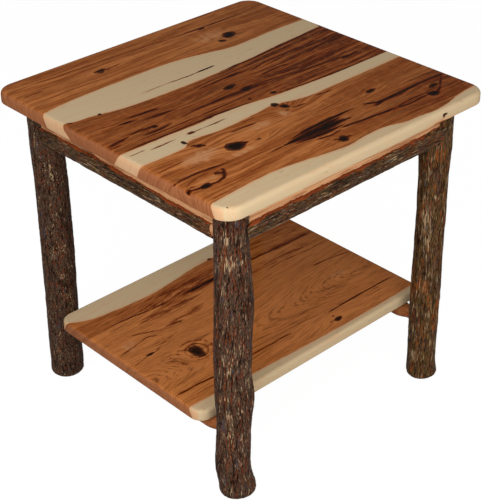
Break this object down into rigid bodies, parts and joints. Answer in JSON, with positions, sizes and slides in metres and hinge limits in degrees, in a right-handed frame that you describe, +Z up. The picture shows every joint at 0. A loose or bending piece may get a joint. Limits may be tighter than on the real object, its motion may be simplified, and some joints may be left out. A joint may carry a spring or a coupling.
{
  "type": "rustic end table",
  "caption": "Rustic end table: a glued plank top with rounded corners on bark-covered sapling legs, sawn rails with bark left on, and a lower plank shelf on peeled stretchers.",
  "frame": {"origin": "on the floor, under the middle of the top", "axes": "+Z up; +X along the grain of the top and shelf, towards the right; +Y towards the rear, so the front faces -Y"},
  "size_m": [0.614, 0.604, 0.61],
  "materials": {
    "lacquered_top": "satin lacquer over figured hickory, sapwood and heartwood",
    "lacquered_shelf": "satin lacquer over figured hickory, sapwood and heartwood",
    "hickory_bark": "furrowed bark under a thin coat of lacquer",
    "rail_bark_and_sapwood": "sawn face above, furrowed bark below, lacquered",
    "peeled_hickory": "peeled and turned, satin lacquer",
    "zinc_plated_steel": "bright zinc"
  },
  "bodies": {
    "root": {"top_board_front": "lacquered_top", "top_board_mid_front": "lacquered_top", "top_board_mid_rear": "lacquered_top", "top_board_rear": "lacquered_top", "shelf_board_front": "lacquered_shelf", "shelf_board_middle": "lacquered_shelf", "shelf_board_rear": "lacquered_shelf", "front_left_leg": "hickory_bark", "rear_left_leg": "hickory_bark", "front_right_leg": "hickory_bark", "rear_right_leg": "hickory_bark", "front_rail": "rail_bark_and_sapwood", "left_rail": "rail_bark_and_sapwood", "rear_rail": "rail_bark_and_sapwood", "right_rail": "rail_bark_and_sapwood", "left_stretcher": "peeled_hickory", "right_stretcher": "peeled_hickory", "top_screws": "zinc_plated_steel", "shelf_screws": "zinc_plated_steel"}
  },
  "joints": []
}
